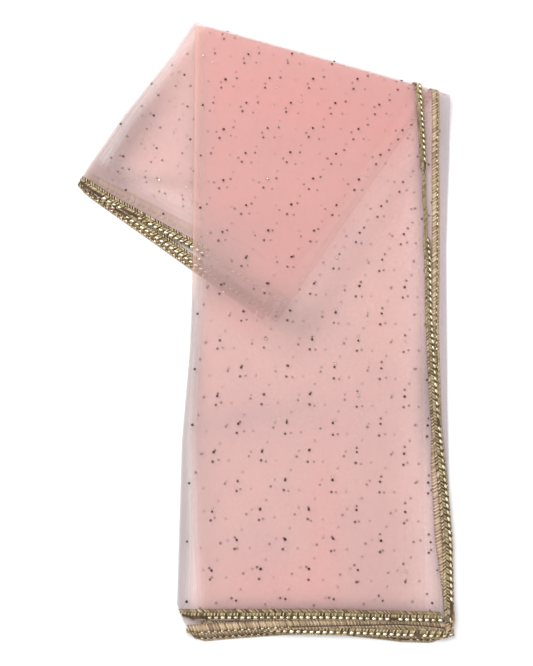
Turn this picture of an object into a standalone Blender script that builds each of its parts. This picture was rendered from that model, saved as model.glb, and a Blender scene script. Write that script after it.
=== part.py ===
"""A net dupatta stole, folded for a shelf, as closed solids: blender --background --python part.py

The stole is one long piece of net with a braided lace sewn round its edge. It is folded three times
across its length into a strip of eight leaves, and the strip is folded once more on a slanting
crease, so that its far half, the tail, lies under its near half, the front.

Each solid is first worked out flat, as part of the strip before that last fold: x runs across the
strip, y along it from the front's hem to the tail's hem, and h up through the stack of leaves. The
flat solid is cut along the lines where the cloth bends, and is then folded.

Metres, +Z up, +X to the right, +Y towards the crease, with the origin under the middle of the part.
"""

import math
from collections import namedtuple

import bmesh
import bpy
from mathutils import Vector

MM = 0.001

# Driving sizes.
LEAF = 1.0 * MM  # thickness of one leaf, and of the lace on its edge
HIDDEN = 1.5 * MM  # thickness of the hidden leaves, which share one solid
GAP = 0.3 * MM  # between neighbouring solids
LACE = 11.5 * MM  # width of the lace
CREASE_SLOPE = math.radians(17.0)  # how far the crease runs down to the right
CREASE_LEFT = Vector((-86.1, 354.4)) * MM  # where the crease's axis meets the strip's left edge
MIDDLE = Vector((-0.18, -0.41)) * MM  # middle of the folded part's box, in the strip's own plan
BEND = 18 * MM  # length of flat strip that goes round the crease
BEND_STEPS = 8
COLUMNS = 7  # lines of points across a wall
ROUND_STEPS = 3  # facets round the left fold of the outer cloth
ROUND_START = math.radians(8)  # where they start, so that the top and under leaf stay apart
EDGE = 0.7 * MM  # how far in the hidden leaves reach their full thickness

# The stack, as (lowest, highest) h of each layer. The top leaf and the under leaf are one cloth,
# which meets at the strip's left edge and holds the others. In the tail the stack is upside down.
UNDER = (0.0, LEAF)
INNER = (UNDER[1] + GAP, UNDER[1] + GAP + HIDDEN)
SECOND = (INNER[1] + GAP, INNER[1] + GAP + LEAF)
TOP = (SECOND[1] + GAP, SECOND[1] + GAP + LEAF)
STACK = TOP[1]

# Edges that run along the strip: x across at each y along, in mm.
Along = namedtuple("Along", "y x")
LEFT_FOLD = [
    Along(-336, -89.5),
    Along(-321, -94.0),
    Along(-145, -92.0),
    Along(-44, -85.0),
    Along(43, -83.0),
    Along(356, -84.5),
    Along(414, -81.5),
    Along(509, -84.0),
    Along(586, -81.0),
    Along(614, -78.5),
]
UNDER_LEFT = [Along(-359, -72.0), Along(-336, -82.0)] + LEFT_FOLD[1:]
SECOND_LEFT = [
    Along(-352, -84.0),
    Along(-321, -81.5),
    Along(-250, -80.0),
    Along(-145, -84.0),
    Along(43, -77.0),
    Along(356, -77.0),
    Along(509, -76.5),
    Along(614, -73.0),
]
INNER_LEFT = [
    Along(-350, -66.0),
    Along(-321, -72.0),
    Along(-250, -78.0),
    Along(-145, -82.0),
    Along(43, -75.5),
    Along(356, -75.5),
    Along(509, -75.0),
    Along(600, -66.0),
]
TOP_SIDE = [
    Along(-337, 201.5),
    Along(-253, 203.2),
    Along(-200, 200.5),
    Along(-123, 195.0),
    Along(-56, 192.3),
    Along(2, 190.5),
    Along(58, 191.4),
    Along(101, 189.5),
    Along(174, 189.5),
    Along(279, 185.7),
    Along(626, 191.0),
]
SECOND_SIDE = [
    Along(-354, 203.0),
    Along(-305, 201.0),
    Along(-253, 195.5),
    Along(-173, 193.5),
    Along(-123, 196.0),
    Along(-21, 196.2),
    Along(58, 200.0),
    Along(136, 203.0),
    Along(276, 206.3),
    Along(620, 206.0),
]
INNER_SIDE = [
    Along(-356, 201.0),
    Along(-214, 201.0),
    Along(-95, 203.5),
    Along(73, 208.5),
    Along(132, 212.3),
    Along(194, 217.1),
    Along(266, 219.8),
    Along(620, 220.5),
]
UNDER_SIDE = [
    Along(-360, 186.0),
    Along(-214, 189.0),
    Along(73, 194.0),
    Along(266, 204.5),
    Along(620, 206.0),
]

# Edges that run across the strip: y along at each x across, in mm. First the front's hems.
Across = namedtuple("Across", "x y")
TOP_HEM = [Across(-90, -336.0), Across(69, -336.0), Across(195, -339.0)]
SECOND_HEM = [
    Across(-84, -352.4),
    Across(-53, -350.3),
    Across(10, -346.8),
    Across(37, -345.6),
    Across(143, -343.2),
    Across(170, -344.8),
    Across(201, -348.0),
]
INNER_HEM = [Across(-66, -347.0), Across(21, -350.5), Across(92, -352.0), Across(200, -356.0)]
UNDER_HEM = [
    Across(-72, -359.0),
    Across(-40, -356.0),
    Across(21, -351.8),
    Across(69, -350.7),
    Across(122, -356.3),
    Across(146, -359.0),
    Across(186, -360.0),
]
# Then the tail's hems.
TOP_TAIL = [Across(-78, 614.5), Across(-56, 617.0), Across(90, 622.0), Across(191, 625.0)]
SECOND_TAIL = [Across(-73, 613.0), Across(90, 617.2), Across(206, 619.0)]
INNER_TAIL = [Across(-66, 604.4), Across(5, 596.3), Across(59, 591.0), Across(220, 585.0)]
UNDER_TAIL = [Across(-77, 612.5), Across(-32, 612.1), Across(79, 602.6), Across(206, 598.0)]

# Where the front comes down off the tail: the share of the drop at each distance past its edge.
Ramp = namedtuple("Ramp", "past share")
RAMP = [Ramp(2, 0.0), Ramp(10, 0.12), Ramp(28, 0.88), Ramp(36, 1.0)]

OVER_CREASE = Vector((math.sin(CREASE_SLOPE), math.cos(CREASE_SLOPE)))
AXIS_Z = STACK + GAP / 2  # height of the crease's axis
DROP = STACK + GAP  # how far the front comes down off the tail

NET = ("net", (0.80, 0.47, 0.42, 1.0), 0.75, 0.0)
BRAID = ("lace", (0.45, 0.36, 0.19, 1.0), 0.45, 0.7)


def read(table, at):
    """The edge's value at a place along it, in metres, straight between the table's rows."""
    first, last = table[0], table[-1]
    at = min(max(at / MM, first[0]), last[0])
    for low, high in zip(table, table[1:]):
        if at <= high[0]:
            share = (at - low[0]) / (high[0] - low[0])
            return (low[1] + share * (high[1] - low[1])) * MM
    return last[1] * MM


def past_crease(point):
    """How far a point of the flat strip lies past the start of the bend, square to the crease."""
    return (point - CREASE_LEFT).dot(OVER_CREASE)


def tail_place(x, y):
    """Where a point of the flat strip's tail lies in plan once the strip is folded."""
    point = Vector((x, y)) * MM
    return point - (2 * past_crease(point) - BEND) * OVER_CREASE


def edge_line(start, end):
    """A point on the line through two plan points, and the line's normal on its left."""
    run = (end - start).normalized()
    return start, Vector((-run.y, run.x))


# The tail's two edges under the front, as lines in plan whose normals point away from the tail.
TAIL_END = edge_line(tail_place(220, 627), tail_place(-60, 620))
TAIL_SIDE = edge_line(tail_place(221, 300), tail_place(221, 620))


def past_line(point, line):
    """How far a plan point lies past one of the tail's edges."""
    return (point - line[0]).dot(line[1])


def share_of_drop(point):
    """How much of the drop off the tail a plan point of the front has made, from 0 to 1."""
    past = max(past_line(point, TAIL_END), past_line(point, TAIL_SIDE)) / MM
    if past <= RAMP[0].past:
        return 0.0
    for low, high in zip(RAMP, RAMP[1:]):
        if past <= high.past:
            return low.share + (past - low.past) / (high.past - low.past) * (high.share - low.share)
    return 1.0


def bend_profile(past):
    """How far out and how far up, for a radius of 1, the bend has come at a flat distance.

    It is the half circle, drawn straight between the lines where the flat strip is cut.
    """
    step = min(int(past / BEND * BEND_STEPS), BEND_STEPS - 1)
    share = past / BEND * BEND_STEPS - step
    low, high = (math.pi * i / BEND_STEPS for i in (step, step + 1))
    out = (1 - share) * math.sin(low) + share * math.sin(high)
    up = (1 - share) * math.cos(low) + share * math.cos(high)
    return out, up


def folded(x, y, h):
    """Where a point of the flat stack lies once the strip is folded."""
    point = Vector((x, y))
    past = past_crease(point)
    radius = h + GAP / 2
    if past <= 0:
        return Vector((x, y, AXIS_Z + radius - DROP * share_of_drop(point)))
    on_axis = point - past * OVER_CREASE
    out, up = (0.0, -1.0)
    if past < BEND:
        out, up = bend_profile(past)
    plan = on_axis + (radius * out - max(past - BEND, 0.0)) * OVER_CREASE
    return Vector((plan.x, plan.y, AXIS_Z + radius * up))


def cut(bm, faces, point, normal):
    """Cut the given faces along an upright plane through a plan point, taking nothing away."""
    parts = {element for face in faces for element in (face, *face.edges, *face.verts)}
    bmesh.ops.bisect_plane(
        bm,
        geom=list(parts),
        dist=1e-6,
        plane_co=(point.x, point.y, 0.0),
        plane_no=(normal.x, normal.y, 0.0),
    )


def cut_where_it_bends(bm):
    """Cut a flat solid along the bend's lines, and its front along the lines of the drop."""
    for i in range(BEND_STEPS + 1):
        at = CREASE_LEFT + BEND * i / BEND_STEPS * OVER_CREASE
        cut(bm, bm.faces, at, OVER_CREASE)
    lines = []
    for start, normal in (TAIL_END, TAIL_SIDE):
        lines += [(start + row.past * MM * normal, normal) for row in RAMP]
    # The two slopes meet on the line that is equally far past both edges.
    (end, end_normal), (side, side_normal) = TAIL_END, TAIL_SIDE
    across = end_normal - side_normal
    shift = (side.dot(side_normal) - end.dot(end_normal)) / across.length
    lines.append((-shift * across.normalized(), across.normalized()))
    for at, normal in lines:
        front = [f for f in bm.faces if past_crease(f.calc_center_median().xy) < 0]
        cut(bm, front, at, normal)


def wall(name, rows, material):
    """Make a closed wall from its flat sections, then cut and fold it.

    Each row is one section across the strip: a list of (low point, high point) pairs.
    """
    bm = bmesh.new()
    grid = [[[bm.verts.new(point) for point in pair] for pair in row] for row in rows]
    for near, far in zip(grid, grid[1:]):
        for i in range(len(near) - 1):
            (a, b), (c, d) = near[i], near[i + 1]
            (e, f), (g, h) = far[i], far[i + 1]
            bm.faces.new((a, e, g, c))
            bm.faces.new((b, d, h, f))
        for (a, b), (e, f) in ((near[0], far[0]), (far[-1], near[-1])):
            bm.faces.new((a, b, f, e))
    for row in (grid[0], grid[-1][::-1]):
        for (a, b), (c, d) in zip(row, row[1:]):
            bm.faces.new((a, c, d, b))
    cut_where_it_bends(bm)
    for vert in bm.verts:
        vert.co = folded(*vert.co) - MIDDLE.to_3d()
    mesh = bpy.data.meshes.new(name)
    bm.to_mesh(mesh)
    bm.free()
    mesh.materials.append(material)
    stole.objects.link(bpy.data.objects.new(name, mesh))


def section(left, right, height_at, layer, fold=None, soft=False):
    """One flat section from x = left to x = right, as (low, high) pairs.

    height_at gives y at each x. With fold, the left edge is a quarter round towards the middle of
    the stack, up for the under leaf and down for the top leaf. With soft, both edges are thinned.
    """
    low, high = layer
    flat = [left + (right - left) * i / (COLUMNS - 1) for i in range(COLUMNS)]
    pairs = []
    if fold:
        outer = STACK / 2
        flat[0] = left + outer
        for i in range(ROUND_STEPS):
            angle = ROUND_START + (math.pi / 2 - ROUND_START) * i / ROUND_STEPS
            points = []
            for radius in (outer, outer - LEAF):
                x = left + outer - radius * math.cos(angle)
                points.append((x, height_at(x), outer + fold * radius * math.sin(angle)))
            pairs.append(points if fold < 0 else points[::-1])
    if soft:
        middle = (low + high) / 2
        thin = []
        for x in (left, right):
            y = height_at(x)
            thin.append(((x, y, middle - GAP), (x, y, middle + GAP)))
        flat[0], flat[-1] = left + EDGE, right - EDGE
        pairs.append(thin[0])
    pairs += [((x, height_at(x), low), (x, height_at(x), high)) for x in flat]
    if soft:
        pairs.append(thin[1])
    return pairs


def end_section(left, right, edge, inset, layer, **shape):
    """The section that follows an edge across the strip, moved along the strip by inset."""

    def height_at(x):
        return read(edge, x) + inset

    x0 = read(left, height_at(read(left, height_at(0))))
    x1 = read(right, height_at(read(right, height_at(0))))
    return section(x0, x1, height_at, layer, **shape)


def shifted(table, by):
    """An edge table moved across the strip by a length in metres."""
    return [Along(row.y, row.x + by / MM) for row in table]


def net(name, layer, left, right, hem, tail, **shape):
    """A leaf of net from lace to lace along the whole strip."""
    inset = LACE + GAP
    near = max(row.y for row in hem) * MM + inset
    far = min(row.y for row in tail) * MM - inset
    places = sorted({row.y * MM for row in left + right})
    rows = [end_section(left, right, hem, inset, layer, **shape)]
    for y in places:
        if near + LACE / 2 < y < far - LACE / 2:
            rows.append(section(read(left, y), read(right, y), lambda x: y, layer, **shape))
    rows.append(end_section(left, right, tail, -inset, layer, **shape))
    wall(name, rows, finish(*NET))


def lace_across(name, layer, left, right, edge, inward, **shape):
    """The lace along a hem. inward is 1 where the strip lies towards +y, and -1 at the tail."""
    outer = end_section(left, right, edge, 0.0, layer, **shape)
    inner = end_section(left, right, edge, inward * LACE, layer, **shape)
    wall(name, [outer, inner] if inward > 0 else [inner, outer], finish(*BRAID))


def lace_along(name, layer, side, hem, tail):
    """The lace along the right-hand end of the cloth, from the front's hem to the tail's."""
    low, high = layer
    corner = read(side, read(hem, side[0].x * MM))
    rows = []
    for y in [read(hem, corner)] + [row.y * MM for row in side[1:-1]] + [read(tail, side[-1].x * MM)]:
        outer = read(side, y)
        rows.append([((x, y, low), (x, y, high)) for x in (outer - LACE, outer)])
    wall(name, rows, finish(*BRAID))


def finish(name, color, roughness, metallic):
    """The named material, made once."""
    material = bpy.data.materials.get(name)
    if material is None:
        material = bpy.data.materials.new(name)
        material.use_nodes = True
        shader = material.node_tree.nodes["Principled BSDF"]
        shader.inputs["Base Color"].default_value = color
        shader.inputs["Roughness"].default_value = roughness
        shader.inputs["Metallic"].default_value = metallic
    return material


for old in list(bpy.data.objects):
    bpy.data.objects.remove(old)
stole = bpy.data.collections.new("dupatta_stole")
bpy.context.scene.collection.children.link(stole)

# The right-hand edges of the net where a lace runs beside it.
top_net_side = shifted(TOP_SIDE, -LACE - GAP)
second_net_side = shifted(SECOND_SIDE, -LACE - GAP)

net("net_top_leaf", TOP, LEFT_FOLD, top_net_side, TOP_HEM, TOP_TAIL, fold=1)
net("net_second_leaf", SECOND, SECOND_LEFT, second_net_side, SECOND_HEM, SECOND_TAIL)
net("net_inner_leaves", INNER, INNER_LEFT, INNER_SIDE, INNER_HEM, INNER_TAIL, soft=True)
net("net_under_leaf", UNDER, UNDER_LEFT, UNDER_SIDE, UNDER_HEM, UNDER_TAIL, fold=-1)

lace_along("lace_top_side", TOP, TOP_SIDE, TOP_HEM, TOP_TAIL)
lace_along("lace_second_side", SECOND, SECOND_SIDE, SECOND_HEM, SECOND_TAIL)

lace_across("lace_top_hem", TOP, LEFT_FOLD, top_net_side, TOP_HEM, 1, fold=1)
lace_across("lace_second_hem", SECOND, SECOND_LEFT, second_net_side, SECOND_HEM, 1)
lace_across("lace_inner_hem", INNER, INNER_LEFT, INNER_SIDE, INNER_HEM, 1, soft=True)
lace_across("lace_under_hem", UNDER, UNDER_LEFT, UNDER_SIDE, UNDER_HEM, 1)

lace_across("lace_top_tail", TOP, LEFT_FOLD, top_net_side, TOP_TAIL, -1, fold=1)
lace_across("lace_second_tail", SECOND, SECOND_LEFT, second_net_side, SECOND_TAIL, -1)
lace_across("lace_inner_tail", INNER, INNER_LEFT, INNER_SIDE, INNER_TAIL, -1, soft=True)
lace_across("lace_under_tail", UNDER, UNDER_LEFT, UNDER_SIDE, UNDER_TAIL, -1, fold=-1)
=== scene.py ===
import math
from collections import namedtuple

import bpy
import numpy as np
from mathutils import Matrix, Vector


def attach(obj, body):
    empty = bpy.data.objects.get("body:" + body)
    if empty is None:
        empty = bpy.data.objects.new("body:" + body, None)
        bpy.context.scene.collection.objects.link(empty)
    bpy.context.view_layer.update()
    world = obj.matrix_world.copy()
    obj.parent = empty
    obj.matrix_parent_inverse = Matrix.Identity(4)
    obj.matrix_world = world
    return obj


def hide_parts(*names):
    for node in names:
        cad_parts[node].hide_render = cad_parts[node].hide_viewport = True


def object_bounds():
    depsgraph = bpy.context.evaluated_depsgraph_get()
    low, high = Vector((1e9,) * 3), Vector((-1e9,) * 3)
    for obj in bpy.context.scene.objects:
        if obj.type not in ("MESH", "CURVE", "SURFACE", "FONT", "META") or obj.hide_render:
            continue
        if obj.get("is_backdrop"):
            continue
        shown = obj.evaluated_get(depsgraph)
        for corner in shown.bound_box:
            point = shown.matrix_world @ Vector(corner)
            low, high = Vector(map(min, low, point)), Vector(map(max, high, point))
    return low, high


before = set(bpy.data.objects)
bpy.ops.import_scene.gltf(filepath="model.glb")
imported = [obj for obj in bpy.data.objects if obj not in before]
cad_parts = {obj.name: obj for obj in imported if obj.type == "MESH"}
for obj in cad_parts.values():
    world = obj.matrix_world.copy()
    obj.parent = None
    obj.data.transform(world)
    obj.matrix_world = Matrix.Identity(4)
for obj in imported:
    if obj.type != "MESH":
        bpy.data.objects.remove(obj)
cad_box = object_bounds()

# ------------------------------------------------------------------------------------------------
# The table and the room. A white table top under a broad soft lamp and a pale sky that darkens
# towards the horizon, with the camera nearly overhead, tipped back a little towards the hem.
# ------------------------------------------------------------------------------------------------
TILT = math.radians(11.0)  # of the view, from straight down
FAR = 1.0224  # from the camera to the table, along the view
AIM = Vector((0.0017, -0.0234, 0.0))  # where the middle of the view meets the table
LENS = 48.65
SENSOR = 36.0


class Value:
    """One shader socket. Arithmetic on it adds Math nodes, with numbers or other sockets."""

    def __init__(self, shader, socket):
        self.shader, self.socket = shader, socket

    def math(self, operation, *terms):
        return self.shader.node("ShaderNodeMath", {"operation": operation}, dict(enumerate(terms)))

    def __add__(self, other):
        return self.math("ADD", self, other)

    def __sub__(self, other):
        return self.math("SUBTRACT", self, other)

    def __rsub__(self, other):
        return self.math("SUBTRACT", other, self)

    def __mul__(self, other):
        return self.math("MULTIPLY", self, other)

    __radd__, __rmul__ = __add__, __mul__


class Shader:
    """The nodes of one material, or of the world."""

    def __init__(self, owner):
        self.owner = owner
        owner.use_nodes = True
        self.tree = owner.node_tree
        self.tree.nodes.clear()

    def node(self, kind, settings=None, sockets=None, out=0):
        """Adds a node: its settings first, then its sockets' values or links. Gives one output."""
        node = self.tree.nodes.new(kind)
        for name, value in (settings or {}).items():
            if name == "stops":
                for position, color in value[2:]:
                    node.color_ramp.elements.new(position)
                for stop, (position, color) in zip(node.color_ramp.elements, value):
                    stop.position, stop.color = position, color
            else:
                setattr(node, name, value)
        for name, value in (sockets or {}).items():
            if isinstance(value, Value):
                self.tree.links.new(value.socket, node.inputs[name])
            else:
                node.inputs[name].default_value = value
        return Value(self, node.outputs[out]) if node.outputs else None

    def read(self, attribute):
        """A number kept on the mesh's points under this name."""
        return self.node("ShaderNodeAttribute", {"attribute_name": attribute}, out=2)

    def blend(self, share, first, second):
        """From the first colour to the second as share goes from 0 to 1."""
        sockets = {0: share, 6: first, 7: second}
        return self.node("ShaderNodeMix", {"data_type": "RGBA"}, sockets, out=2)

    def noise(self, where, scale, detail=2.0):
        """Soft noise from 0 to 1, with scale lumps in a metre."""
        sockets = {"Vector": where, "Scale": scale, "Detail": detail}
        return self.node("ShaderNodeTexNoise", None, sockets)

    def finish(self, **sockets):
        """Ends the material in a Principled shader with these sockets, and gives the material."""
        sockets = {name.replace("_", " "): value for name, value in sockets.items()}
        surface = self.node("ShaderNodeBsdfPrincipled", None, sockets)
        self.node("ShaderNodeOutputMaterial", None, {"Surface": surface})
        return self.owner


def rgb(red, green, blue):
    """A colour given as it looks on a screen, from 0 to 255, as the shader's own numbers."""
    return (*((c / 255) ** 2.2 for c in (red, green, blue)), 1.0)


def put(name, points, faces, finishes, of_face=None, smooth=True, spots=None):
    """Makes a mesh object from arrays: points, and a list of arrays of faces with equal corners.

    of_face holds each face's finish, and spots the numbers kept on the points, by name.
    """
    mesh = bpy.data.meshes.new(name)
    corners = np.concatenate([f.ravel() for f in faces])
    sizes = np.concatenate([np.full(len(f), f.shape[1]) for f in faces])
    mesh.vertices.add(len(points))
    mesh.vertices.foreach_set("co", np.ascontiguousarray(points, np.float32).ravel())
    mesh.loops.add(len(corners))
    mesh.loops.foreach_set("vertex_index", corners.astype(np.int32))
    mesh.polygons.add(len(sizes))
    mesh.polygons.foreach_set("loop_start", (np.cumsum(sizes) - sizes).astype(np.int32))
    mesh.polygons.foreach_set("loop_total", sizes.astype(np.int32))
    for finish in finishes:
        mesh.materials.append(finish)
    if of_face is not None:
        mesh.polygons.foreach_set("material_index", of_face.astype(np.int32))
    mesh.polygons.foreach_set("use_smooth", np.broadcast_to(smooth, sizes.shape).astype(bool))
    for key, values in (spots or {}).items():
        layer = mesh.attributes.new(key, "FLOAT", "POINT")
        layer.data.foreach_set("value", np.ascontiguousarray(values, np.float32).ravel())
    mesh.update(calc_edges=True)
    mesh.validate()
    piece = bpy.data.objects.new(name, mesh)
    bpy.context.scene.collection.objects.link(piece)
    return piece


white = Shader(bpy.data.materials.new("white table top"))
place = white.node("ShaderNodeTexCoord", out=3)
paint = white.blend(white.noise(place, 4.0), rgb(246, 246, 247), rgb(250, 250, 250))
table_top = put(
    "table_top",
    np.array([(-4, -4, 0), (4, -4, 0), (4, 4, 0), (-4, 4, 0)]),
    [np.array([(0, 1, 2, 3)])],
    [white.finish(Base_Color=paint, Roughness=0.9)],
)
table_top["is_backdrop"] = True

sky = Shader(bpy.data.worlds.new("room"))
bpy.context.scene.world = sky.owner
up = sky.node("ShaderNodeSeparateXYZ", None, {0: sky.node("ShaderNodeTexCoord")}, out=2)
stops = [(0.0, (0.22, 0.21, 0.2, 1)), (0.7, (1.0, 1.0, 1.0, 1))]
glow = sky.node("ShaderNodeValToRGB", {"stops": stops}, {0: up})
sky.node(
    "ShaderNodeOutputWorld",
    None,
    {"Surface": sky.node("ShaderNodeBackground", None, {"Color": glow, "Strength": 1.0})},
)

lamp = bpy.data.objects.new("soft_lamp", bpy.data.lights.new("soft_lamp", "AREA"))
lamp.data.shape, lamp.data.size, lamp.data.energy = "DISK", 1.1, 17.0
lamp.location = (-0.75, 0.75, 1.5)
lamp.rotation_euler = (-lamp.location).to_track_quat("-Z", "Y").to_euler()
bpy.context.scene.collection.objects.link(lamp)

camera = bpy.data.objects.new("camera", bpy.data.cameras.new("camera"))
camera.data.lens, camera.data.sensor_width = LENS, SENSOR
camera.data.clip_start, camera.data.clip_end = 0.05, 30.0
camera.location = AIM + FAR * Vector((0.0, -math.sin(TILT), math.cos(TILT)))
camera.rotation_euler = (TILT, 0.0, 0.0)
bpy.context.scene.collection.objects.link(camera)
bpy.context.scene.camera = camera
bpy.context.scene.view_settings.view_transform = "Standard"
bpy.context.scene.cycles.transparent_max_bounces = 64
bpy.context.scene.cycles.diffuse_bounces = 6

# ------------------------------------------------------------------------------------------------
# The net. One long piece of soft pink net, folded across its length into a strip of eight leaves.
# The strip is then folded on a slanting crease, so that its far half, the tail, lies underneath.
# Leaves 1 to 8 are counted along the cloth, and each is one layer from the front's hem to the
# tail's. They are drawn flat, in mm, x across the strip and y along it, and then folded.
# ------------------------------------------------------------------------------------------------
MM = 0.001
SLOPE = math.radians(17.0)  # how far the crease runs down to the right
SIN, COS = math.sin(SLOPE), math.cos(SLOPE)
CREASE_X, CREASE_Y = -86.1, 354.4  # where the crease's axis meets the strip's left edge
MIDDLE_X, MIDDLE_Y = -0.18, -0.41  # middle of the folded stole, in the strip's plan
BEND = 18.0  # length of strip that goes round the crease
SKIN = 0.15  # between the crease's axis and the innermost layer
STACK = 5.4  # height of the eight leaves
AXIS = STACK + SKIN
DROP = STACK + 2 * SKIN  # how far the front comes down off the tail
LACE = 11.5  # width of the lace
TUCK = 1.0  # how far the net runs on under the lace

LEFT_FOLD = np.array(
    [(-359, -74), (-336, -87.5), (-321, -94), (-145, -92), (-44, -85), (43, -83), (356, -84.5)]
    + [(414, -81.5), (509, -84), (586, -81), (614, -78.5)]
)
SECOND_LEFT = np.array(
    [(-352, -84), (-321, -81.5), (-250, -80), (-145, -84), (43, -77), (356, -77), (509, -76.5)]
    + [(614, -73)]
)
INNER_LEFT = np.array(
    [(-350, -66), (-321, -72), (-250, -78), (-145, -82), (43, -75.5), (356, -75.5), (509, -75)]
    + [(600, -66)]
)
TOP_SIDE = np.array(
    [(-337, 201.5), (-253, 203.2), (-200, 200.5), (-123, 195), (-56, 192.3), (2, 190.5)]
    + [(58, 191.4), (101, 189.5), (174, 189.5), (279, 185.7), (626, 191)]
)
SECOND_SIDE = np.array(
    [(-354, 203), (-305, 201), (-253, 195.5), (-173, 193.5), (-123, 196), (-21, 196.2)]
    + [(58, 200), (136, 203), (276, 206.3), (620, 206)]
)
INNER_SIDE = np.array(
    [(-356, 201), (-214, 201), (-95, 203.5), (73, 208.5), (132, 212.3), (194, 217.1)]
    + [(266, 219.8), (620, 220.5)]
)
UNDER_SIDE = np.array([(-360, 186), (-214, 189), (73, 194), (266, 204.5), (620, 206)])

TOP_HEM = np.array([(-90, -336), (69, -336), (195, -339)])
SECOND_HEM = np.array(
    [(-84, -352.4), (-53, -350.3), (10, -346.8), (37, -345.6), (143, -343.2), (170, -344.8)]
    + [(201, -348)]
)
INNER_HEM = np.array([(-66, -347), (21, -350.5), (92, -352), (200, -356)])
UNDER_HEM = np.array(
    [(-72, -359), (-40, -356), (21, -351.8), (69, -350.7), (122, -356.3), (146, -359)]
    + [(186, -360)]
)
TOP_TAIL = np.array([(-78, 616), (-56, 618.5), (90, 623.5), (191, 626)])
SECOND_TAIL = np.array([(-73, 614.5), (90, 618.7), (206, 620)])
INNER_TAIL = np.array([(-66, 604.4), (5, 596.3), (59, 591), (220, 585)])
UNDER_TAIL = np.array([(-77, 613.5), (-32, 613.1), (79, 603.6), (206, 599)])


def at(edge, along):
    """Where an edge lies at these places along it, straight between its rows."""
    return np.interp(along, edge[:, 0], edge[:, 1])


def ease(share):
    """A smooth step: 0 up to 0, 1 from 1 on, and level at both ends."""
    share = np.clip(share, 0.0, 1.0)
    return share * share * (3.0 - 2.0 * share)


def past_crease(x, y):
    """How far a point of the flat strip lies past the start of the bend, square to the crease."""
    return (x - CREASE_X) * SIN + (y - CREASE_Y) * COS


def tail_place(x, y):
    """Where a point of the flat strip's tail lies in plan once folded."""
    back = 2 * past_crease(x, y) - BEND
    return np.array((x - back * SIN, y - back * COS))


def past_edge(start, end, x, y):
    """How far a point of the front lies outside the line between two corners of the tail."""
    run = (end - start) / np.hypot(*(end - start))
    return (y - start[1]) * run[0] - (x - start[0]) * run[1]


def drop(x, y):
    """The share of the drop off the tail that a point of the front has made.

    It is an eased step from 2 to 36 mm past the tail's end or its right side, and the two meet
    in a soft corner.
    """
    end = past_edge(tail_place(220, 627), tail_place(-60, 620), x, y)
    side = past_edge(tail_place(221, 300), tail_place(221, 620), x, y)
    soft = 5.0
    past = soft * np.logaddexp(end / soft, side / soft)
    return ease((past - 2.0) / 34.0)


Ridge = namedtuple("Ridge", "start end high wide")
RIDGES = [
    Ridge((22, 96), (139, 93), -0.07, 5.0),
    Ridge((-66, -141), (61, -121), 0.10, 7.0),
    Ridge((1, -298), (96, -297), 0.12, 5.0),
    Ridge((-120, 190), (-60, 110), -0.12, 9.0),
    Ridge((-150, 235), (-96, 205), 0.10, 10.0),
    Ridge((-70, -60), (40, -95), -0.05, 9.0),
    Ridge((60, 10), (170, -30), 0.05, 12.0),
    Ridge((90, -170), (185, -205), -0.06, 9.0),
    Ridge((-20, 250), (70, 215), 0.03, 14.0),
]


def swell(x, y):
    """How much the stack swells at a place in plan, as a share of its height.

    It is two long waves, low ridges and troughs along the handling creases, and a rise at the
    hem, where the laces lie on each other.
    """
    wave = 0.05 * np.sin(x / 31 + np.sin(y / 57)) * np.sin(y / 43 + 0.7 * np.sin(x / 49))
    wave += 0.03 * np.sin(x / 17 + y / 23) * np.sin(y / 29 - x / 61)
    for ridge in RIDGES:
        (x0, y0), (x1, y1) = ridge.start, ridge.end
        long = math.hypot(x1 - x0, y1 - y0)
        run = ((x - x0) * (x1 - x0) + (y - y0) * (y1 - y0)) / long
        off = ((y - y0) * (x1 - x0) - (x - x0) * (y1 - y0)) / long
        ends = ease(run / 30 + 0.5) * ease((long - run) / 30 + 0.5)
        wave = wave + ridge.high * ends * np.exp(-((off / ridge.wide) ** 2))
    return wave + 0.6 * ease((-312 - y) / 22)


def folded(x, y, h):
    """The folded place, in metres, of points of the flat stack at x, y and height h, in mm.

    The bend is a half circle about the crease's axis, of radius h plus the skin. Before it the
    front lies on the tail and comes down off it, and past it the tail lies upside down.
    """
    past = past_crease(x, y)
    radius = h + SKIN
    turn = np.pi * np.clip(past / BEND, 0.0, 1.0)
    move = radius * np.sin(turn) - np.maximum(past, 0.0) - np.maximum(past - BEND, 0.0)
    plan_x, plan_y = x + move * SIN - MIDDLE_X, y + move * COS - MIDDLE_Y
    z = AXIS + radius * np.cos(turn) - DROP * drop(x, y) * (past <= 0)
    z = np.maximum(z * (1.0 + swell(plan_x, plan_y)), 0.03)
    return np.stack([plan_x, plan_y, z], axis=-1) * MM


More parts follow.
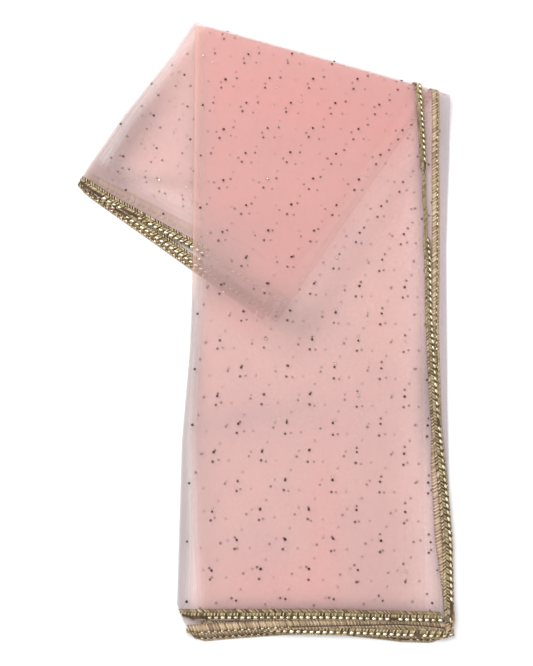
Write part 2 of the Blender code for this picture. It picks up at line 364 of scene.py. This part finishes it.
# A leaf lies at its height, in front. Its side edges fold over to a neighbour at the middle height
# given, or end in a lace where that is None. face is 1 where the right side looks up in front.
# hem_in and tail_in say how far the net's ends lie in from the hem and tail lines.
Leaf = namedtuple(
    "Leaf", "number height face left left_mid right right_mid hem hem_in tail tail_in"
)
UNDER = LACE - TUCK  # where the net ends under a lace
SIDE_UNDER = 7.0  # and under a side lace, which is narrower where it is rumpled
INSET_SIDE = UNDER_SIDE - (0, 15)
CORE_LEFT = INNER_LEFT + (0, 5)
LEAVES = [
    Leaf(1, 4.9, 1, LEFT_FOLD, 2.7, TOP_SIDE, None, TOP_HEM, UNDER, TOP_TAIL, UNDER),
    Leaf(8, 3.6, -1, SECOND_LEFT, 2.45, SECOND_SIDE, None, SECOND_HEM, UNDER, SECOND_TAIL, UNDER),
    Leaf(5, 2.75, 1, INNER_LEFT, 2.2, INNER_SIDE, 2.6, INNER_HEM, UNDER, INNER_TAIL, 15),
    Leaf(4, 2.4, -1, CORE_LEFT, 2.2, INNER_SIDE, 2.6, INNER_HEM, 16, INNER_TAIL, 18),
    Leaf(3, 2.05, 1, CORE_LEFT, 2.2, UNDER_SIDE, 1.25, INNER_HEM, 18, INNER_TAIL, 16),
    Leaf(6, 1.7, -1, INNER_LEFT, 2.2, INSET_SIDE, 1.5, INNER_HEM, 17, INNER_TAIL, 17),
    Leaf(7, 1.35, 1, SECOND_LEFT, 2.45, INSET_SIDE, 1.5, INNER_HEM, 19, INNER_TAIL, UNDER),
    Leaf(2, 0.45, -1, LEFT_FOLD, 2.7, UNDER_SIDE, 1.25, UNDER_HEM, UNDER, UNDER_TAIL, UNDER),
]


def roundings(leaf):
    """The radii of a leaf's left and right folds, 0 at an edge that ends in a lace."""
    mids = (leaf.left_mid, leaf.right_mid)
    return [0.0 if mid is None else abs(leaf.height - mid) for mid in mids]


def cloth_across(leaf, y):
    """The length of cloth across a leaf, measured round its folds."""
    return at(leaf.right, y) - at(leaf.left, y) + (math.pi / 2 - 1) * sum(roundings(leaf))


def across(leaf, run, y, lift=0.0):
    """x and h on a leaf, at a run along the cloth from its left fold, and lifted off it.

    It is a quarter circle up from the left fold, then level, then where the leaf folds on the
    right a quarter circle into that fold. The lift is square to the cloth, and up where level.
    """
    round_left, round_right = roundings(leaf)
    way = math.copysign(1.0, leaf.height - leaf.left_mid)
    turn = np.clip(run / round_left, 0.0, math.pi / 2)
    x = at(leaf.left, y) + round_left * (1 - np.cos(turn) - math.pi / 2) + np.maximum(
        run, round_left * math.pi / 2
    )
    x = x - lift * way * np.cos(turn)
    h = leaf.left_mid + (way * round_left + lift) * np.sin(turn)
    if round_right:
        way = math.copysign(1.0, leaf.height - leaf.right_mid)
        turn = np.clip((cloth_across(leaf, y) - run) / round_right, 0.0, math.pi / 2)
        near = turn < math.pi / 2
        out = at(leaf.right, y) - round_right * (1 - np.cos(turn)) + lift * way * np.cos(turn)
        x = np.where(near, out, x)
        h = np.where(near, leaf.right_mid + (way * round_right + lift) * np.sin(turn), h)
    return x, h


STRIP = 290.0  # width of the strip
SPACING = 5.5  # between a leaf's rows of points, and between its columns
ENDS = 70.0  # how far in from the hem and the tail the rows still follow their slope


def leaf_surface(leaf):
    """A leaf's flat points as a grid: x, y and h at each row along and each column across.

    Columns stand close together round the folds and are evenly spaced between them. Rows follow
    the hem at one end and the tail's edge at the other, and lean over to run along the crease
    where it is near.
    """
    close = np.array([0, 0.25, 0.5, 0.75, 1.0]) * math.pi / 2
    next_in = np.array([1.5, 4.0])
    radius_left, radius_right = roundings(leaf)
    left = np.concatenate([close * radius_left, radius_left * math.pi / 2 + next_in])
    right = np.concatenate([close * radius_right, radius_right * math.pi / 2 + next_in])
    if not radius_right:
        right = SIDE_UNDER + np.array([0.0, 1.5])
    inner = np.linspace(0, 1, int(STRIP / SPACING))[1:-1]
    from_left = np.concatenate([left, left[-1] * (1 - inner) - right[-1] * inner, -right[::-1]])
    share = np.concatenate([0 * left, inner, 0 * right + 1])

    start, end = leaf.hem[:, 1].mean() + leaf.hem_in, leaf.tail[:, 1].mean() - leaf.tail_in
    middle = 56.0  # x half-way across the strip
    crease = CREASE_Y - (middle - CREASE_X) * SIN / COS
    front = np.linspace(start, crease - 5, int((crease - 5 - start) / SPACING))
    bend = crease + np.linspace(-5, BEND + 6, 20)[1:]
    tail = np.linspace(crease + BEND + 6, end, int((end - crease - BEND) / SPACING))[1:]
    rows = np.concatenate([front, bend, tail])[:, None]
    lean = ease((260 - np.abs(rows - crease)) / 200) * SIN / COS  # whole within 60 of the crease

    y = rows + 0 * share
    for _ in range(3):
        x = across(leaf, from_left + share * cloth_across(leaf, y), y)[0]
        y = rows - lean * (x - middle)
        y = y + (at(leaf.hem, x) + leaf.hem_in - start) * ease((start + ENDS - rows) / ENDS)
        y = y + (at(leaf.tail, x) - leaf.tail_in - end) * ease((rows - end + ENDS) / ENDS)
    x, h = across(leaf, from_left + share * cloth_across(leaf, y), y)
    return x, y, h


# Soft patches of the net's colour, by where they lie once it is folded, and how far they reach.
Patch = namedtuple("Patch", "strength middle reach lean", defaults=(0.0,))
PINKER = [
    Patch(0.35, (64, -235), (20, 85)),
    Patch(0.4, (20, -300), (70, 30)),
    Patch(0.6, (60, 250), (150, 40), -0.28),
    Patch(0.3, (160, 180), (22, 90)),
]
# Painted shade: soft greyer patches where shade falls on the net.
GREY_SHADE_PATCHES = [
    Patch(0.8, (-65, 60), (45, 50), -0.5),
    Patch(0.5, (30, 5), (60, 28), -0.45),
    Patch(0.7, (-84, -215), (26, 110)),
    Patch(0.2, (130, -290), (50, 24)),
    Patch(0.5, (-80, 190), (16, 120)),
    Patch(0.4, (-20, -120), (90, 14), 0.16),
]
# Painted shade: soft darker patches where shade falls, on the front and on the tail.
PAINTED_SHADE_FRONT = [
    Patch(0.55, (-35, 26), (58, 17), -0.52),
    Patch(0.25, (20, -8), (30, 21), -0.3),
    Patch(0.7, (50, -329), (190, 12)),
    Patch(0.9, (181, -95), (10, 75)),
    Patch(0.85, (-80, -50), (9, 100)),
    Patch(0.6, (-90, -250), (9, 110)),
    Patch(0.95, (186, 145), (9, 140)),
    Patch(0.85, (193, -265), (10, 85)),
]
PAINTED_SHADE_TAIL = [
    Patch(0.9, (-178, 206), (100, 28), 0.95),
    Patch(0.7, (-196, 162), (34, 24)),
    Patch(0.35, (-130, 158), (60, 9), -0.1),
    Patch(0.8, (-150, 132), (64, 18), -0.5),
]


def patches(rows, x, y):
    """Soft round patches in plan, added. Each is a bell curve out from its middle."""
    total = 0.0 * x
    for row in rows:
        off_x, off_y = x - row.middle[0], y - row.middle[1]
        u = (off_x * math.cos(row.lean) + off_y * math.sin(row.lean)) / row.reach[0]
        v = (off_y * math.cos(row.lean) - off_x * math.sin(row.lean)) / row.reach[1]
        total = total + row.strength * np.exp(-(u * u) - v * v)
    return total


def clouds(x, y, size, seed):
    """Soft lumps of about this size, from -1 to 1: six waves in all directions, added."""
    chance = np.random.default_rng(seed)
    total = 0.0 * x
    for angle, start, stretch in zip(*chance.uniform((0, 0, 0.7), (np.pi, 6.3, 1.4), (6, 3)).T):
        run = (x * np.cos(angle) + y * np.sin(angle)) / size * 3.0 * stretch
        total = total + np.sin(run + start + np.sin(run * 0.37 + 2 * start))
    return np.clip(total / 3.2, -1, 1)


# How much each leaf hides of what lies under it. The leaves inside are slack, and hide more.
FILM = {1: 0.7, 8: 0.8, 5: 1.0, 4: 1.2, 3: 1.3, 6: 1.3, 7: 1.4, 2: 1.4}
VEIL = 2.8  # how much more the under leaf hides where it covers the laces inside the tail
FADE = 50.0  # how far in from their folds and tails the inner leaves fade


def tones(leaf, x, y):
    """Numbers for the net's colour at each point of a leaf.

    thin is an eased step outside the neighbouring leaves' folds, film falls off towards the edges
    of the leaves inside, and deep is 1 where the front lies on the tail and falls off inside its
    edges. cloud and fleck are soft lumps, large and small, blush is soft pinker patches, and ash
    and shade are painted shade, soft patches greyer and darker, shade also darkening the bend
    round the crease. peach is how warm the thin edges are, and their grey is painted shade of
    the floor seen through them.
    """
    past = past_crease(x, y)
    front = past <= 0
    film = 1.0 + 0.0 * x
    thin = 0.0 * x
    if leaf.number in (1, 2):
        thin = 0.8 * ease((at(SECOND_LEFT, y) + 5.0 - x) / 13.0)
    else:
        film = ease((x - at(leaf.left, y)) / 10.0)
    if leaf.number in (4, 5):
        thin = ease((x - at(SECOND_SIDE, y) + 4.0) / 6.0) * ease(1 - past / 20.0)
    if leaf.right_mid is not None:
        away = np.minimum(at(leaf.right, y) - x, at(leaf.tail, x) - leaf.tail_in - y)
        film = film * np.where(front & (leaf.number in (4, 5)), 1.0, ease(away / FADE))
    film = (0.4 + 0.6 * film) * FILM[leaf.number]
    if leaf.number == 2:
        film = film + VEIL * ease((y + 34 - at(leaf.tail, x) + leaf.tail_in) / 16.0)

    place = folded(x, y, 0 * x)[..., :2] / MM
    plan = place[..., 0], place[..., 1]
    deep = (1 - drop(x + 30, y - 22)) * front
    # Painted shade: darker patches, and a band along the bend round the crease that darkens its
    # rim.
    shade = np.where(front, patches(PAINTED_SHADE_FRONT, *plan), patches(PAINTED_SHADE_TAIL, *plan))
    shade = shade + 0.6 * ease(past / 9) * ease((BEND - past) / 9)
    soft = {
        "cloud": ease(0.5 + 0.5 * clouds(*plan, 70, 3 + leaf.number)),
        "blush": patches(PINKER, *plan),
        # painted shade, greyer
        "ash": patches(GREY_SHADE_PATCHES, *plan),
        "shade": shade,
        "peach": np.where(front, deep * (x < 0), 0.4),
    }
    soft = {name: np.clip(value, 0, 1) for name, value in soft.items()}
    fleck = 0.5 + 0.25 * clouds(*plan, 22, 13 + leaf.number)
    return {"thin": thin, "film": film, "deep": deep, "fleck": fleck} | soft


MESH = 1.5  # from one thread of the net to the next


def net_finish():
    """Soft pink net: a film that lets through what lies under it, with a fine open mesh."""
    net = Shader(bpy.data.materials.new("soft pink net"))
    color = net.blend(net.read("cloud"), rgb(230, 194, 192), rgb(243, 206, 197))
    color = net.blend(net.read("fleck") * 0.35, color, rgb(236, 192, 189))
    color = net.blend(net.read("deep") * 0.65, color, rgb(245, 189, 183))
    color = net.blend(net.read("blush") * 0.6, color, rgb(249, 184, 180))
    # Painted shade: greyer where the greyer patches lie.
    color = net.blend(net.read("ash") * 0.8, color, rgb(211, 184, 181))
    # Painted shade: darker patches and the crease's bend.
    color = net.blend(net.read("shade") * 0.9, color, rgb(170, 140, 136))
    # The thin edges' grey is painted shade, of the floor seen through them, and peach warms it.
    edge = net.blend(net.read("peach"), rgb(190, 180, 183), rgb(240, 192, 176))
    color = net.blend(net.read("thin") * 0.9, color, edge)
    cell = net.node("ShaderNodeUVMap", {"uv_map": "cloth"})
    turned = net.node("ShaderNodeMapping", None, {"Vector": cell, "Rotation": (0, 0, math.pi / 4)})
    mesh = net.node(
        "ShaderNodeTexBrick",
        {"offset": 0.0, "squash": 1.0},
        {"Vector": turned, "Scale": 1 / (MESH * MM), "Mortar Size": 0.18, "Brick Width": 1.0}
        | {"Row Height": 1.0, "Mortar Smooth": 0.6, "Color1": (0, 0, 0, 1), "Color2": (0, 0, 0, 1)}
        | {"Mortar": (1, 1, 1, 1)},
    )
    alpha = (0.15 + mesh * 0.03) * net.read("film") + net.read("thin") * 0.3
    bump = net.node("ShaderNodeBump", None, {"Strength": 0.15, "Distance": 0.0003, "Height": mesh})
    return net.finish(Base_Color=color, Roughness=0.7, Alpha=alpha, Normal=bump)


soft_net = net_finish()
leaves = {}
for leaf in LEAVES:
    x, y, h = leaf_surface(leaf)
    place = np.arange(x.size).reshape(x.shape)
    quads = np.stack([place[:-1, :-1], place[:-1, 1:], place[1:, 1:], place[1:, :-1]], axis=-1)
    spots = {key: value.ravel() for key, value in tones(leaf, x, y).items()}
    points = folded(x, y, h).reshape(-1, 3)
    piece = put(
        f"net_leaf_{leaf.number}", points, [quads.reshape(-1, 4)], [soft_net], spots=spots
    )
    layer = piece.data.uv_layers.new(name="cloth")
    flat = np.stack([x, y], axis=-1).reshape(-1, 2)[quads.ravel()] * MM
    layer.data.foreach_set("uv", flat.astype(np.float32).ravel())
    leaves[leaf.number] = piece

CAD_NODE = {1: "net_top_leaf", 8: "net_second_leaf", 2: "net_under_leaf"}
for number, piece in leaves.items():
    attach(piece, "root")
    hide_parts(CAD_NODE.get(number, "net_inner_leaves"))

# ------------------------------------------------------------------------------------------------
# The foil dots. Small round dots of foil pressed through the net with their domes on its right
# side, in upright columns half a step down from their neighbours. Their dark bronze is painted
# dark reflection, of the dim surroundings the foil mirrors, and the gold top of a few is a
# painted glint.
# ------------------------------------------------------------------------------------------------
COLUMN = 26.2  # from one column of dots to the next
STEP = 62.9  # from one dot of a column to the next
DOT = 1.4  # radius
STRAY = 0.45  # how far a dot strays from its place, as a rule
GLINT_SHARE = 0.11  # share of the dots whose top is a painted gold glint

# Where each leaf's dots start from, and how far its columns lean over, by the leaf's number.
Dots = namedtuple("Dots", "x y lean")
DOTS = {
    1: Dots(5.7, 281, 0.02),
    8: Dots(0.7, 270, 0.0115),
    5: Dots(15.7, 286, 0.047),
    4: Dots(-3.5, 279, 0.038),
    3: Dots(12.5, 272, 0.03),
    6: Dots(-9, 262, 0.034),
    7: Dots(12, 250, 0.0),
    2: Dots(-6, 303, 0.018),
}


def dot_shape(corners):
    """A dot of foil through the net: a flat back, then a rim, a shoulder and a small flat top."""
    angle = np.arange(corners) * 2 * np.pi / corners
    ring = np.stack([np.cos(angle), np.sin(angle)], axis=-1)
    rings = ((1.0, -0.14), (1.0, 0.02), (0.8, 0.24), (0.5, 0.3))
    points = np.concatenate([np.c_[ring * DOT * r, np.full(corners, t)] for r, t in rings])
    here, there = np.arange(corners), (np.arange(corners) + 1) % corners
    wall = np.stack([here, there, there + corners, here + corners], axis=-1)
    walls = np.concatenate([wall, wall + corners, wall + 2 * corners])
    return points, walls, np.stack([here[::-1], here + 3 * corners])


def dot_finish():
    """Foil: dark bronze as painted dark reflection, with a painted bright gold glint on the odd
    dot's top.
    """
    foil = Shader(bpy.data.materials.new("bronze foil"))
    gold = foil.read("gold")
    place = foil.node("ShaderNodeTexCoord", out=3)
    dark_mottle = foil.noise(place, 900.0)
    # Painted dark reflection: mottled dark bronze in place of the dim surroundings the foil
    # mirrors.
    dark = foil.blend(dark_mottle, rgb(40, 22, 26), rgb(84, 56, 58))
    # Painted glint: bright gold on the top ring of the dots marked gold.
    color = foil.blend(gold, dark, rgb(255, 240, 205))
    return foil.finish(Base_Color=color, Metallic=0.5 + gold * 0.2, Roughness=0.42 - gold * 0.15)


foil_finish = dot_finish()
dots = {}
for leaf in LEAVES:
    chance = np.random.default_rng(40 + leaf.number)
    column, step = np.meshgrid(np.arange(-14, 15), np.arange(-11, 8), indexing="ij")
    start = DOTS[leaf.number]
    y = start.y + STEP * (step + 0.5 * (column % 2))
    x = start.x + COLUMN * column + start.lean * (y - 250)
    stray_x, stray_y = chance.normal(0, STRAY, (2, *x.shape))
    x, y = x + 1.5 * np.sin(y / 70 + leaf.number), y + 2.0 * np.sin(x / 60 + leaf.number)
    x, y = (x + stray_x).ravel(), (y + stray_y).ravel()
    side = LACE if leaf.right_mid is None else 0.0
    inside = (x > at(leaf.left, y) + 2.0) & (x < at(leaf.right, y) - side - 2.5)
    inside &= (y > at(leaf.hem, x) + leaf.hem_in + 3) & (y < at(leaf.tail, x) - leaf.tail_in - 3)
    x, y = x[inside], y[inside]
    shape, walls, caps = dot_shape(8)
    spin = chance.uniform(0, 0.6, len(x))[:, None]
    size = chance.normal(1.0, 0.07, len(x))[:, None]
    dot_x = x[:, None] + size * (shape[:, 0] * np.cos(spin) - shape[:, 1] * np.sin(spin))
    dot_y = y[:, None] + size * (shape[:, 0] * np.sin(spin) + shape[:, 1] * np.cos(spin))
    radius = roundings(leaf)[0]
    run = dot_x - at(leaf.left, dot_y) + radius * (math.pi / 2 - 1)
    flat_x, flat_h = across(leaf, run, dot_y, leaf.face * (0.06 + shape[:, 2]))
    points = folded(flat_x, dot_y, flat_h).reshape(-1, 3)
    base = (np.arange(len(x)) * len(shape))[:, None, None]
    faces = [(base + walls).reshape(-1, 4), (base + caps).reshape(-1, 8)]
    if leaf.face < 0:
        faces = [f[:, ::-1] for f in faces]
    # Painted glint: a few dots are marked gold on their top ring only.
    gold = np.outer(chance.random(len(x)) < GLINT_SHARE, shape[:, 2] == shape[:, 2].max())
    dots[leaf.number] = put(
        f"foil_dots_{leaf.number}", points, faces, [foil_finish], smooth=False, spots={"gold": gold}
    )
    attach(dots[leaf.number], "root")

# ------------------------------------------------------------------------------------------------
# The laces. A woven edging, 11.5 mm wide, is sewn all round the net. On its right side it has a
# plait of gilt cords along the net, a row of foil diamonds, and a rope edge. On its wrong side
# the same cords show as flat slanting threads. It shows at four hems and four tails of the leaves,
# and along the two ends of the cloth, at the right.
# ------------------------------------------------------------------------------------------------
REPEAT = 7.0  # from one foil diamond to the next
# The cords' tones are partly their own colour and partly painted glints: the light ones stand in
# for glints.
CORD_TONES = (0.85, 0.3, 0.65, 0.1)  # of the cords in a repeat, from dark, 0, to light, 1
GROUND, GILT, FOIL, THREAD = range(4)  # the lace's finishes, in the order of its slots
PRESSED = 0.35  # share of its height left on the side that lies downwards
CORNER = 14.0  # how far along from a corner its outer edge draws in
CURL = 3.5  # and how far it draws in there
RUMPLED = 0.25  # share of its width that a side lace loses above the front's middle
ROLLED = 5.5  # how far out the part of a side lace starts that can roll under
LEAN = 0.6  # how far the diamonds lean back along the lace, as a slope
LOST = 0.02  # share of the diamonds whose foil has come away
# The spread in tone of cords and diamonds is partly painted glints.
UNEVEN = 0.22  # how much the cords differ in tone
Shape = namedtuple("Shape", "points faces kind tone")

# The strands of the lace, made once for each tone in a repeat. Each runs from start to end, (along,
# out) in mm, as half a tube of this half width and height on a base at this height, and bows a
# little to the side. Its own tone is dark plus light times that tone. A height below 0 is on the
# wrong side.
Strand = namedtuple("Strand", "start end width height base kind bow sections dark light")
STRANDS = [
    Strand((0, 0.2), (2.8, 3.9), 0.66, 0.9, 0.1, GILT, 0.1, 5, 0.0, 1.0),
    Strand((2.8, 3.4), (0, 7.0), 0.7, 1.0, 0.1, GILT, 0.1, 5, 1.0, -1.0),
    Strand((0, 10.0), (1.9, 11.5), 0.55, 0.75, 0.0, GILT, 0.0, 4, 0.2, 0.5),
    Strand((0, 0.3), (3.0, 8.0), 0.88, -0.45, -0.05, THREAD, 0.4, 5, 0.0, 1.0),
    Strand((0, 9.2), (1.9, 11.4), 0.6, -0.45, -0.05, THREAD, 0.0, 4, 0.0, 1.0),
]


def turned_over(shape):
    """The same shape with its faces turned to look down."""
    return shape._replace(faces=shape.faces[:, ::-1])


def cord(strand, along, tone):
    """A strand as half a tube, moved along by so many mm, that swells from its base in the middle.

    Its middle line runs straight, with an S-shaped bow to the side, and each cross-section is an
    arch of four points, lower and narrower towards the ends.
    """
    share = np.linspace(0, 1, strand.sections)[:, None]
    start, end = np.array(strand.start) + (along, 0), np.array(strand.end) + (along, 0)
    run = end - start
    side = np.array((-run[1], run[0])) / np.hypot(*run)
    line = start + run * share + side * strand.bow * np.sin(2 * np.pi * share)
    full = (0.45 + 0.55 * np.sin(np.pi * share) ** 0.6)[:, :, None]
    arch = np.array([(-1, 0), (-0.5, 0.9), (0.5, 0.9), (1, 0)])[None]
    spread = line[:, None] + side * arch[..., :1] * strand.width * full
    rise = strand.base + strand.height * arch[..., 1:] * full
    points = np.concatenate([spread, rise], axis=-1).reshape(-1, 3)
    number = np.arange(strand.sections * 4).reshape(strand.sections, 4)
    faces = np.stack([number[:-1, :-1], number[1:, :-1], number[1:, 1:], number[:-1, 1:]], axis=-1)
    shape = Shape(points, faces.reshape(-1, 4), strand.kind, strand.dark + strand.light * tone)
    return turned_over(shape) if strand.height < 0 else shape


def diamond(middle, size, height, tone):
    """A foil diamond: a six-cornered rim, a smaller ring above it and a small flat top."""
    angle = np.arange(6) * np.pi / 3
    ring = np.stack([np.cos(angle) * size[0], np.sin(angle) * size[1]], axis=-1)
    ring[:, 0] -= LEAN * ring[:, 1]
    rings = [(1.0, 0.1 * height), (0.82, 0.75 * height), (0.3, height)]
    points = [np.c_[ring * r + middle, np.full(6, t)] for r, t in rings]
    here = np.arange(6)
    there = (here + 1) % 6
    walls = [np.stack([here, there, there + 6, here + 6], axis=-1) + 6 * i for i in range(2)]
    top = np.array([(12, 13, 14, 15), (12, 15, 16, 17)])
    return Shape(np.concatenate(points), np.concatenate(walls + [top]), FOIL, tone)


def ground_cloth():
    """The strip of cloth that the cords are sewn to, flat, in columns that bend round folds."""
    columns = np.array([0.2, 3.6, 7.2, 10.9])
    along, out = np.meshgrid(np.linspace(0, REPEAT, 5), columns, indexing="ij")
    points = np.stack([along, out, 0 * along + 0.08], axis=-1).reshape(-1, 3)
    number = np.arange(20).reshape(5, 4)
    faces = np.stack([number[:-1, :-1], number[1:, :-1], number[1:, 1:], number[:-1, 1:]], axis=-1)
    return Shape(points, faces.reshape(-1, 4), GROUND, 0.5)


def lace_repeat():
    """The shapes of one repeat of lace, with its right side up."""
    shapes = [ground_cloth()]
    for i, tone in enumerate(CORD_TONES):
        shapes += [cord(strand, REPEAT * i / len(CORD_TONES), tone) for strand in STRANDS]
    shapes.append(diamond(middle=(REPEAT / 2, 8.6), size=(2.6, 1.7), height=1.2, tone=0.8))
    stud = diamond(middle=(REPEAT / 2, 8.7), size=(1.9, 0.9), height=-0.6, tone=0.4)
    return shapes + [turned_over(stud)]


def lace(name, whole, lay, seed, bare=((0, 0),)):
    """A length of lace of whole mm, laid by a function from (along, out, up) to flat x, y, h.

    In the bare stretches the foil has come away or is turned in.
    """
    chance = np.random.default_rng(seed)
    count = max(int(round(whole / REPEAT)), 1)
    starts = np.arange(count) * (whole / count)
    stretch = whole / count / REPEAT
    points, faces, kinds, worths, smooths, used = [], [], [], [], [], 0
    for shape in lace_repeat():
        first = starts
        if shape.kind == FOIL:
            gone = sum((starts > low) & (starts < high) for low, high in bare).astype(bool)
            first = starts[~gone & (chance.random(count) > LOST)]
        each = np.repeat((shape.points * (stretch, 1, 1))[None], len(first), axis=0)
        each[..., 0] += first[:, None]
        worth = shape.tone + chance.normal(0, UNEVEN, len(first))
        points.append(each.reshape(-1, 3))
        steps = used + np.arange(len(first))[:, None, None] * len(shape.points)
        faces.append((steps + shape.faces).reshape(-1, 4))
        kinds.append(np.full(len(faces[-1]), shape.kind))
        smooths.append(np.full(len(faces[-1]), shape.kind != FOIL))
        worths.append(np.repeat(worth, len(shape.points)))
        used += len(points[-1])
    along, out, up = np.concatenate(points).T
    x, y, h = lay(np.clip(along, 0, whole), out, up)
    piece = put(
        name,
        folded(x, y, h),
        [np.concatenate(faces)],
        lace_finishes,
        of_face=np.concatenate(kinds),
        smooth=np.concatenate(smooths),
        spots={"tone": np.clip(np.concatenate(worths), 0, 1)},
    )
    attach(piece, "root")
    return piece


def metal_thread(name, dark, light, metallic, roughness):
    """Twisted thread: noise runs from the dark to the light colour about each cord's own tone."""
    thread = Shader(bpy.data.materials.new(name))
    place = thread.node("ShaderNodeTexCoord", out=3)
    grain = thread.noise(place, 1400.0, 1.0)
    tone = thread.read("tone") + grain * 0.6 - 0.3
    color = thread.blend(tone, dark, light)
    relief = {"Strength": 0.4, "Distance": 0.0004, "Height": grain}
    bump = thread.node("ShaderNodeBump", None, relief)
    return thread.finish(Base_Color=color, Metallic=metallic, Roughness=roughness, Normal=bump)


lace_finishes = [
    # The ground's dark colour is partly its own and partly painted shade between the cords.
    metal_thread("lace ground", rgb(60, 42, 34), rgb(104, 80, 66), 0.0, 0.8),
    metal_thread("gilt cord", rgb(76, 54, 30), rgb(240, 220, 178), 0.7, 0.32),
    metal_thread("gold foil", rgb(150, 124, 70), rgb(255, 250, 214), 0.85, 0.2),
    metal_thread("back of the cords", rgb(140, 114, 92), rgb(232, 208, 172), 0.35, 0.5),
]


def end_lace(leaf, end, bare=((0, 0),), full=1.0):
    """Lays a lace across a leaf's end: along runs across the leaf, and out is away from it.

    full is the share of its height that the upper side keeps.
    """

    def lay(along, out, up):
        """y lies on the edge's line, less what is left of the lace's width, drawn in at corners."""
        line, way = (leaf.hem, -1) if end == "hem" else (leaf.tail, 1)
        y = line[:, 1].mean() + 0 * along
        for _ in range(2):
            x = across(leaf, along, y)[0]
            y = at(line, x) - way * (LACE - out)
        rise = np.where((up * leaf.face > 0) == (end == "hem"), full, PRESSED)
        x, h = across(leaf, along, y, up * rise * leaf.face)
        last = whole - along if leaf.right_mid else along
        curl = CURL if end == "hem" else CURL / 2
        y = y - way * curl * (1 - ease(np.minimum(along, last) / CORNER)) * out / LACE
        return x, y, h

    y = np.array([(leaf.hem if end == "hem" else leaf.tail)[:, 1].mean()])
    whole = cloth_across(leaf, y)[0] - (LACE if leaf.right_mid is None else 0)
    seed = 60 + leaf.number + (end == "tail") * 10
    return lace(f"lace_{end}_{leaf.number}", whole, lay, seed, bare)


def side_lace(leaf, turned=None, bare=((0, 0),)):
    """Lays a lace along a leaf's right side, from the hem's corner to the tail's.

    Between the two places y in turned, the outer part rolls under the cords, and the rest bulges
    outwards in a low wave.
    """
    start = at(leaf.hem, at(leaf.right, leaf.hem[0, 1]))
    whole = at(leaf.tail, at(leaf.right, leaf.tail[0, 1])) - start

    def lay(along, out, up):
        """x lies on the side's line, less what is left of the lace's width, drawn in at the hem."""
        y = start + along
        if turned:
            roll = ease((y - turned[0]) / 12) * ease((turned[1] - y) / 12)
            far = np.maximum(out - ROLLED, 0.0)
            out, up = out - 2 * far * roll, np.where(far > 0, up * (1 - roll) - 0.2 * roll, up)
            out = out + (3.5 + 0.8 * np.sin(y / 8)) * roll
        narrow = 1 - RUMPLED * ease((y + 120) / 160)
        curl = CURL * (1 - ease(along / CORNER))
        x = at(leaf.right, y) - (LACE - out) * narrow - curl * out / LACE
        in_front = past_crease(x, y) < BEND / 2
        rise = np.where((up * leaf.face > 0) == in_front, 1.0, PRESSED)
        return x, y, leaf.height + up * rise * leaf.face

    return lace(f"lace_side_{leaf.number}", whole, lay, 80 + leaf.number, bare)


by_number = {leaf.number: leaf for leaf in LEAVES}
laces = {
    (1, "lace_top_hem"): end_lace(by_number[1], "hem", bare=((-1, 24),)),
    (8, "lace_second_hem"): end_lace(by_number[8], "hem", bare=((110, 300),)),
    (5, "lace_inner_hem"): end_lace(by_number[5], "hem", full=0.65),
    (2, "lace_under_hem"): end_lace(by_number[2], "hem"),
    (1, "lace_top_tail"): end_lace(by_number[1], "tail"),
    (8, "lace_second_tail"): end_lace(by_number[8], "tail", bare=((-1, 20), (48, 62))),
    (7, "lace_inner_tail"): end_lace(by_number[7], "tail"),
    (2, "lace_under_tail"): end_lace(by_number[2], "tail", bare=((-1, 34), (62, 80))),
    (1, "lace_top_side"): side_lace(by_number[1], (84, 174), bare=((0, 8), (450, 512))),
    (8, "lace_second_side"): side_lace(by_number[8]),
}
for (number, node), piece in laces.items():
    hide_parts(node)

# ------------------------------------------------------------------------------------------------
# How the cloth was cut. For each leaf, from the under one up, the flat size of what it shows is
# worked out, and the dots and laces that are on it are gathered.
# ------------------------------------------------------------------------------------------------
for leaf in reversed(LEAVES):
    piece = leaves[leaf.number]
    length = (leaf.tail[:, 1].mean() - leaf.hem[:, 1].mean() - leaf.hem_in - leaf.tail_in) * MM
    width = float(cloth_across(leaf, np.linspace(-300, 580, 30)).mean()) * MM
    width -= 0 if leaf.right_mid is not None else SIDE_UNDER * MM
    on_it = [dots[leaf.number]] + [p for (number, _), p in laces.items() if number == leaf.number]

# ------------------------------------------------------------------------------------------------
# The sizes, for comparison with the CAD. Each is a box, as its lowest and its highest corner, in
# metres. The scene then ends.
# ------------------------------------------------------------------------------------------------
size = {"cad": [list(corner) for corner in cad_box], "visual": [list(c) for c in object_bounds()]}
